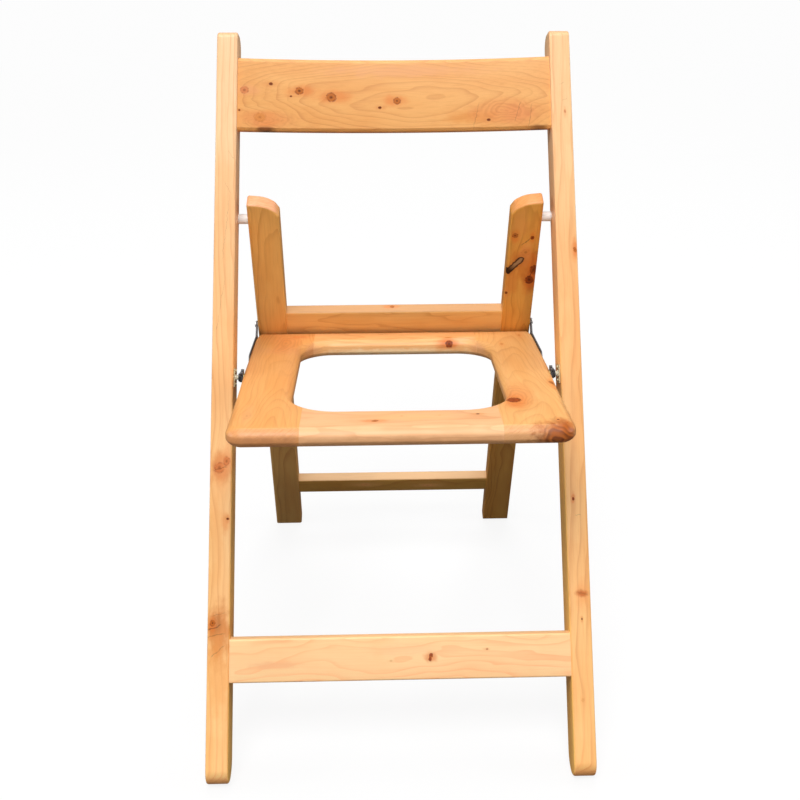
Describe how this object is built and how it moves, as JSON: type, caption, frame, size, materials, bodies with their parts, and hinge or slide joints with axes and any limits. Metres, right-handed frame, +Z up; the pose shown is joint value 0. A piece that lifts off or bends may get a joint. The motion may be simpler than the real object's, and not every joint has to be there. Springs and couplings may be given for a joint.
{
  "type": "folding toilet chair",
  "caption": "Folding wooden toilet chair with leaning posts, bowed backrest slat, hinged rear leg frame and a tilting seat with a large rounded opening.",
  "frame": {"origin": "centre of the footprint box, on the floor under the four feet", "axes": "+Z up, -Y towards the front of the seat, +X across the chair to the right when seen from the front"},
  "size_m": [0.43, 0.5204, 0.7847],
  "materials": {
    "wood_light": "oiled, satin",
    "wood_knotty": "oiled, satin, knotty",
    "wood_warm": "oiled, satin",
    "wood_seat": "oiled, smooth satin",
    "wood_dowel": "raw",
    "bolt_steel": "satin",
    "nylon": "matte white",
    "bush_brass": "satin",
    "plate_zinc": "yellow plated, satin",
    "pin_cream": "satin cream",
    "black_steel": "satin black"
  },
  "bodies": {
    "front_frame": {"left_post": "wood_light", "right_post": "wood_light", "backrest_slat": "wood_knotty", "front_stretcher": "wood_knotty", "left_top_bolt": "bolt_steel", "right_top_bolt": "bolt_steel", "left_top_spacer": "nylon", "right_top_spacer": "nylon", "left_pivot_plate": "plate_zinc", "right_pivot_plate": "plate_zinc", "left_plate_screws": "plate_zinc", "right_plate_screws": "plate_zinc", "left_seat_pin": "pin_cream", "right_seat_pin": "pin_cream"},
    "rear_frame": {"left_rear_leg": "wood_warm", "right_rear_leg": "wood_warm", "upper_rear_rail": "wood_warm", "lower_rear_rail": "wood_warm", "left_leg_bush": "bush_brass", "right_leg_bush": "bush_brass"},
    "seat": {"left_seat_board": "wood_seat", "right_seat_board": "wood_seat", "front_seat_board": "wood_seat", "rear_seat_board": "wood_seat", "seat_dowels": "wood_dowel", "left_seat_bush": "bush_brass", "right_seat_bush": "bush_brass", "left_pivot_washer": "black_steel", "right_pivot_washer": "black_steel", "left_pivot_nut": "black_steel", "right_pivot_nut": "black_steel", "left_side_bracket": "black_steel", "right_side_bracket": "black_steel", "left_bracket_screws": "pin_cream", "right_bracket_screws": "pin_cream", "left_guide_pin": "bolt_steel", "right_guide_pin": "bolt_steel"}
  },
  "joints": [
    {"name": "seat_fold", "type": "hinge", "parent": "front_frame", "child": "seat", "pos_m": [0, -0.07854, 0.40472], "axis": [-1, 0, 0], "range_deg": [0, 106]},
    {"name": "rear_frame_fold", "type": "hinge", "parent": "front_frame", "child": "rear_frame", "pos_m": [0, 0.01738, 0.56687], "axis": [-1, 0, 0], "range_deg": [0, 46.5]}
  ],
  "couplings": [
    {"joint": "rear_frame_fold", "follows": "seat_fold", "ratio": 0.43827}
  ]
}
